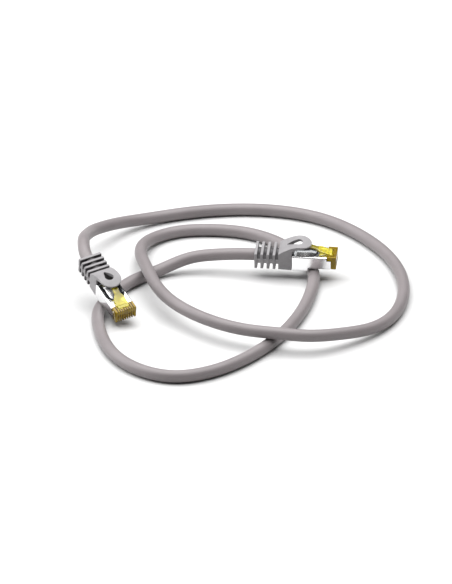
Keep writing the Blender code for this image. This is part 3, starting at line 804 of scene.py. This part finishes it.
def shell_mesh():
    """Folded sheet swept along the plug, with its well pressed and its windows cut."""
    step = 0.17 * MM
    spans = [
        np.arange(SHELL_REAR, SHELL_STEP - step / 2, step),
        [SHELL_STEP, SHELL_STEP + 0.12 * MM],
        np.arange(SHELL_STEP + step * 2, WINDOW_REAR - 0.3 * MM - step / 2, step),
        [WINDOW_REAR - 0.3 * MM],
        np.arange(WINDOW_REAR - 0.3 * MM + step, SHELL_FRONT - step / 2, step),
        [SHELL_FRONT],
        np.linspace(SHELL_FRONT, SHELL_TOE, 9)[1:],
    ]
    stations = np.concatenate(spans)
    rows = []
    for x in stations:
        section = shell_section(SHELL_DEEP_BOTTOM if x < SHELL_STEP + 0.01 * MM else 0.0)
        y, z = section.T
        on_top = smoothstep(z, SHELL_TOP - 0.05 * MM, SHELL_TOP)
        z = z - pressed_depth(x, y) * on_top
        rows.append(np.stack([np.full_like(y, x), y, z], axis=1))
    points = np.array(rows)

    def keep(i, j):
        k = (j + 1) % points.shape[1]
        x, y, z = (points[i, j] + points[i + 1, j] + points[i, k] + points[i + 1, k]) / 4
        flat_bottom = z < 0.5 * SHELL_LOW_CORNER and abs(y) < HOUSING_HALF_WIDTH
        if x > WINDOW_REAR - 0.3 * MM and flat_bottom and z > SHELL_DEEP_BOTTOM / 2:
            return False
        return x < SHELL_FRONT or z < SHELL_TOE_TOP

    obj = scratch_object(grid_mesh(points, True, keep))
    weld = obj.modifiers.new("Weld", "WELD")
    weld.merge_threshold = 0.005 * MM
    sheet = obj.modifiers.new("Solidify", "SOLIDIFY")
    sheet.thickness = SHEET
    sheet.offset = 1.0
    mesh = settled(obj)
    bm = bmesh.new()
    bm.from_mesh(mesh)
    bmesh.ops.recalc_face_normals(bm, faces=bm.faces)
    bm.to_mesh(mesh)
    bm.free()
    x, y, z = coordinates(mesh).T
    inward = well_inward(x, y)
    # The sheet's colour is darkened on the well's walls, and on its floor towards the front: painted shade.
    ahead = smoothstep(x, -17.4 * MM, -13.8 * MM) * 0.55
    wall = 1 - smoothstep(inward, 2.6 * MM, 3.8 * MM) * (1 - ahead)
    wall = wall * smoothstep(inward, 0.0, 0.3 * MM)
    wall = wall * (x < GATE_REAR) * (z > WELL_FLOOR)
    point_value(mesh, "pressed", wall * 0.9)
    return mesh


def add_shells():
    mesh = shell_mesh()
    for end in ENDS:
        shell = place(f"shell_sheet_{end}", mesh if end == "a" else mesh.copy(), "shell_metal", PLUG[end])
        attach(shell, "root")
        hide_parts(f"shield_shell_{end}")


# ---------------------------------------------------------------- housing, contacts, latch


def contact_rows():
    return [(row - (CONTACTS - 1) / 2) * CONTACT_PITCH for row in range(CONTACTS)]


def housing_mesh():
    """The clear block, its nose combed by the contact slots, every edge softened."""
    gap = SHEET
    outline = [
        (HOUSING_REAR, 0.6 * MM),
        (WINDOW_REAR, 0.6 * MM),
        (WINDOW_REAR, 0.0),
        (-gap, 0.0),
        (-gap, NOSE_TOP - gap),
        (-NOSE_LENGTH + gap, NOSE_TOP - gap),
        (-NOSE_LENGTH + gap, HOUSING_BRIDGE),
        (BRIDGE_REAR, HOUSING_BRIDGE),
        (BRIDGE_REAR, HOUSING_DECK),
        (HOUSING_REAR, HOUSING_DECK),
    ]
    chamfer = 0.35 * MM
    nose = [
        (-LIP_LENGTH, 0.0),
        (-chamfer, 0.0),
        (0.0, chamfer),
        (0.0, NOSE_TOP - chamfer),
        (-chamfer, NOSE_TOP),
        (-NOSE_LENGTH, NOSE_TOP),
        (-NOSE_LENGTH, SHOULDER_HEIGHT),
        (-LIP_LENGTH, SHOULDER_HEIGHT),
    ]
    pocket = box_mesh((-12 * MM, -POCKET_HALF_WIDTH, 5.4 * MM), (-2.2 * MM, POCKET_HALF_WIDTH, 20 * MM))
    cavity = box_mesh((-50 * MM, -4.4 * MM, CAVITY_HEIGHTS[0]), (CAVITY_FRONT, 4.4 * MM, CAVITY_HEIGHTS[1]))
    steps = [
        ("UNION", prism_mesh(nose, -HALF_WIDTH, HALF_WIDTH, "xz")),
        ("DIFFERENCE", pocket),
        ("DIFFERENCE", cavity),
    ]
    for y in contact_rows():
        slot = box_mesh((SLOT_REAR, y - SLOT_WIDTH / 2, -10 * MM), (10 * MM, y + SLOT_WIDTH / 2, SLOT_TOP))
        steps.append(("DIFFERENCE", slot))
        flute = box_mesh(
            (-NOSE_LENGTH - 1 * MM, y - 0.25 * MM, NOSE_TOP - 0.28 * MM),
            (1 * MM, y + 0.25 * MM, NOSE_TOP + 1 * MM),
        )
        steps.append(("DIFFERENCE", flute))
    solid = combined(prism_mesh(outline, -HOUSING_HALF_WIDTH, HOUSING_HALF_WIDTH, "xz"), steps)
    mesh = bevelled(solid, 0.07 * MM)
    # A mask for the painted slot shade: every place inside the nose's outer side faces.
    point_value(mesh, "comb", (np.abs(coordinates(mesh)[:, 1]) < HALF_WIDTH - 0.03 * MM).astype(float))
    return mesh


def contact_mesh():
    """A blade on edge: a round lower front corner and piercing teeth on top."""
    front, rear, low = -1.0 * MM, -6.7 * MM, 1.0 * MM
    top, corner, tooth = 3.5 * MM, 1.1 * MM, 0.4 * MM
    outline = [(rear, low + 0.4 * MM), (rear + 0.4 * MM, low)]
    outline += arc((front - corner, low + corner), corner, 270, 360, 12)
    outline += [(front, top - 0.3 * MM), (front - 0.3 * MM, top)]
    for x in (-2.2 * MM, -3.6 * MM, -5.0 * MM):
        outline += [(x, top), (x - 0.35 * MM, top + tooth), (x - 0.7 * MM, top)]
    outline += [(rear + 0.2 * MM, top), (rear, top - 0.2 * MM)]
    mesh = prism_mesh(outline, -CONTACT_THICKNESS / 2, CONTACT_THICKNESS / 2, "xz")
    return bevelled(mesh, 0.05 * MM, 2, 50)


def latch_mesh():
    """The lever: a round root, a stepped plan and thinned edges."""
    wide, narrow = LATCH_HALF_WIDTHS
    tail = LATCH_LENGTH - narrow
    half = LATCH_THICKNESS / 2
    outline = [
        (0.0, -wide),
        *arc((LATCH_SHOULDER_END - 0.4 * MM, -wide + 0.4 * MM), 0.4 * MM, -90, -45, 3),
        (LATCH_NECK - 0.2 * MM, -narrow - 0.12 * MM),
        (LATCH_NECK + 0.5 * MM, -narrow),
        *arc((tail, 0.0), narrow, -90, 90, 16),
        (LATCH_NECK + 0.5 * MM, narrow),
        (LATCH_NECK - 0.2 * MM, narrow + 0.12 * MM),
        *arc((LATCH_SHOULDER_END - 0.4 * MM, wide - 0.4 * MM), 0.4 * MM, 45, 90, 3),
        (0.0, wide),
    ]
    root = prism_mesh(arc((0.0, 0.0), half, 0, 345, 23), -wide, wide, "xz")
    underside = [
        (LATCH_NECK - 0.6 * MM, -half - 1 * MM),
        (LATCH_LENGTH + 1 * MM, -half - 1 * MM),
        (LATCH_LENGTH + 1 * MM, -half + 0.25 * MM),
        (LATCH_NECK + 0.4 * MM, -half + 0.25 * MM),
    ]
    steps = [
        ("UNION", root),
        ("DIFFERENCE", prism_mesh(underside, -5 * MM, 5 * MM, "xz")),
    ]
    low = (1.15 * MM, -wide + 0.4 * MM, half - 0.3 * MM)
    steps.append(("DIFFERENCE", box_mesh(low, (1.5 * MM, wide - 0.4 * MM, half + 1 * MM))))
    mesh = bevelled(combined(prism_mesh(outline, -half, half, "xy"), steps), 0.09 * MM)
    along = coordinates(mesh)[:, 0] / MM
    # A mask for the painted shade, rising from the shoulders' end to the narrow part and tail.
    point_value(mesh, "painted_neck_shade", smoothstep(along, 5.4, 6.4))
    return mesh


def add_plugs():
    """Housings, contacts and latches."""
    housing, contact, latch = housing_mesh(), contact_mesh(), latch_mesh()
    for end in ENDS:
        block = place(f"housing_clear_{end}", housing.copy(), "clear_amber", PLUG[end], 30)
        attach(block, "root")
        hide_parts(f"plug_housing_{end}")
        for number, y in enumerate(contact_rows(), start=1):
            matrix = PLUG[end] @ Matrix.Translation((0, y, 0))
            blade = place(f"contact_blade_{number}_{end}", contact.copy(), "contact_gold", matrix, 30)
            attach(blade, "root")
            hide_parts(f"contact_{number}_{end}")
        lever = place(f"latch_lever_{end}", latch.copy(), "latch_amber", PLUG[end] @ LATCH_FRAME, 30)
        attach(lever, f"latch_{end}")
        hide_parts(f"latch_{end}")


# ---------------------------------------------------------------- cable


def smooth_curve(points, start_way, end_way, step):
    """A cubic spline through the points, with its end directions set, read at equal steps."""
    points = np.array(points, dtype=float)
    spans = np.linalg.norm(np.diff(points, axis=0), axis=1)
    count = len(points)
    slopes = np.diff(points, axis=0) / spans[:, None]
    matrix = np.zeros((count, count))
    right = np.zeros((count, 3))
    matrix[0, 0] = matrix[-1, -1] = 1.0
    right[0], right[-1] = start_way, end_way
    for i in range(1, count - 1):
        before, after = spans[i - 1], spans[i]
        matrix[i, i - 1 : i + 2] = (after, 2 * (before + after), before)
        right[i] = 3 * (after * slopes[i - 1] + before * slopes[i])
    ways = np.linalg.solve(matrix, right)
    dense = []
    for i, span in enumerate(spans):
        t = np.linspace(0.0, 1.0, 40, endpoint=False)[:, None]
        dense.append(
            (1 + 2 * t) * (1 - t) ** 2 * points[i]
            + t * (1 - t) ** 2 * span * ways[i]
            + t**2 * (3 - 2 * t) * points[i + 1]
            + t**2 * (t - 1) * span * ways[i + 1]
        )
    dense = np.vstack([*dense, points[-1:]])
    along = np.concatenate([[0.0], np.cumsum(np.linalg.norm(np.diff(dense, axis=0), axis=1))])
    places = np.linspace(0.0, along[-1], int(round(along[-1] / step)) + 1)
    return np.stack([np.interp(places, along, dense[:, k]) for k in range(3)], axis=1)


def cable_line():
    """The jacket's centreline, from inside boot a to inside boot b."""
    inner = {e: np.array(PLUG[e] @ Vector((JACKET_END, 0, CABLE_AXIS_HEIGHT))) for e in ENDS}
    outer = {e: np.array(PLUG[e] @ Vector((BOOT_REAR, 0, CABLE_AXIS_HEIGHT))) for e in ENDS}
    way = {e: (outer[e] - inner[e]) / np.linalg.norm(outer[e] - inner[e]) for e in ENDS}
    free = smooth_curve([outer["a"], *CABLE_ROUTE, outer["b"]], way["a"], -way["b"], CABLE_RING_STEP)
    stubs = {e: np.linspace(inner[e], outer[e], 11)[:-1] for e in ENDS}
    return np.vstack([stubs["a"], free, stubs["b"][::-1]]), outer["a"]


def tube_points(line):
    """Rings round a line, carried along it without twisting."""
    ways = np.gradient(line, axis=0)
    ways /= np.linalg.norm(ways, axis=1)[:, None]
    side = np.cross(ways[0], (0.0, 0.0, 1.0))
    side /= np.linalg.norm(side)
    rings = []
    angles = np.linspace(0.0, 2 * math.pi, CABLE_SIDES, endpoint=False)
    for point, way in zip(line, ways):
        side = side - way * np.dot(side, way)
        side /= np.linalg.norm(side)
        up = np.cross(side, way)
        ring = np.cos(angles)[:, None] * side + np.sin(angles)[:, None] * up
        rings.append(point + CABLE_RADIUS * ring)
    return np.array(rings)


def add_cable():
    line, exit_point = cable_line()
    mesh = grid_mesh(tube_points(line), True)
    bm = bmesh.new()
    bm.from_mesh(mesh)
    bmesh.ops.holes_fill(bm, edges=[e for e in bm.edges if e.is_boundary], sides=0)
    bmesh.ops.recalc_face_normals(bm, faces=bm.faces)
    bm.to_mesh(mesh)
    bm.free()
    jacket = place("cable_outer_jacket", mesh, "jacket", smooth_angle=60)
    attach(jacket, "root")
    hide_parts("cable_jacket")
    on_far_end = [f"{name}_b" for name in ("housing_clear", "shell_sheet", "boot_with_ring", "latch_lever")]
    on_far_end += [f"contact_blade_{n}_b" for n in range(1, CONTACTS + 1)]
    on_far_end += [f"{name}_b" for name in ("load_bar", "crimp_ferrule", "shield_braid")]
    on_far_end += [f"wire_pair_{n}_b" for n in range(1, 5)]


def dress_inner_nodes():
    """Materials for the CAD pieces that stay as they are, inside the plugs."""
    slots = {
        "load_bar": "comb_plastic",
        "crimp_ferrule": "ferrule_metal",
        "shield_braid": "braid",
        "wire_pair": "pair_foil",
    }
    for name, node in frame["nodes"].items():
        for start, slot in slots.items():
            if name.startswith(start):
                node.data.materials.clear()
                node.data.materials.append(MATERIAL[slot])


# ---------------------------------------------------------------- floor, light, camera


def add_floor():
    bm = bmesh.new()
    bmesh.ops.create_grid(bm, x_segments=8, y_segments=8, size=6.0)
    floor = bpy.data.objects.new("table_top", finish_mesh(bm, "table_top"))
    bpy.context.scene.collection.objects.link(floor)
    floor.data.materials.append(floor_material())


def add_area_light(name, position, target, size, power, colour=(1.0, 1.0, 1.0)):
    data = bpy.data.lights.new(name, "AREA")
    data.shape = "RECTANGLE"
    data.size, data.size_y = size
    data.energy = power
    data.color = colour
    light = bpy.data.objects.new(name, data)
    light.location = position
    light.rotation_euler = (Vector(target) - Vector(position)).to_track_quat("-Z", "Y").to_euler()
    bpy.context.scene.collection.objects.link(light)


def add_lights():
    """A broad soft box overhead, one on the left, nothing in front, and a dim room."""
    add_area_light("softbox_top", (0.0, 0.12, 0.9), (0.0, 0.02, 0.0), (1.5, 1.3), 26.0)
    add_area_light("softbox_left", (-1.0, 0.15, 0.5), (0.0, 0.0, 0.0), (0.8, 0.6), 8.0)
    world = bpy.data.worlds.new("studio")
    world.use_nodes = True
    world.node_tree.nodes["Background"].inputs["Color"].default_value = (1.0, 0.99, 0.985, 1.0)
    world.node_tree.nodes["Background"].inputs["Strength"].default_value = 0.09
    bpy.context.scene.world = world
    bpy.context.scene.view_settings.view_transform = "Standard"


def add_camera():
    """A long lens from the front, 25 degrees above the table, far away."""
    elevation = math.radians(25.2)
    target = Vector((-0.0086, 0.0052, 0.0))
    back = Vector((0.0, -math.cos(elevation), math.sin(elevation)))
    data = bpy.data.cameras.new("camera")
    data.lens = 349.5
    data.sensor_width = 36.0
    data.clip_start, data.clip_end = 0.1, 30.0
    camera = bpy.data.objects.new("camera", data)
    camera.location = target + back * 3.0
    camera.rotation_euler = (-back).to_track_quat("-Z", "Y").to_euler()
    bpy.context.scene.collection.objects.link(camera)
    bpy.context.scene.camera = camera


add_camera()
add_floor()
add_lights()
add_plugs()
add_shells()
add_boots()
add_cable()
dress_inner_nodes()
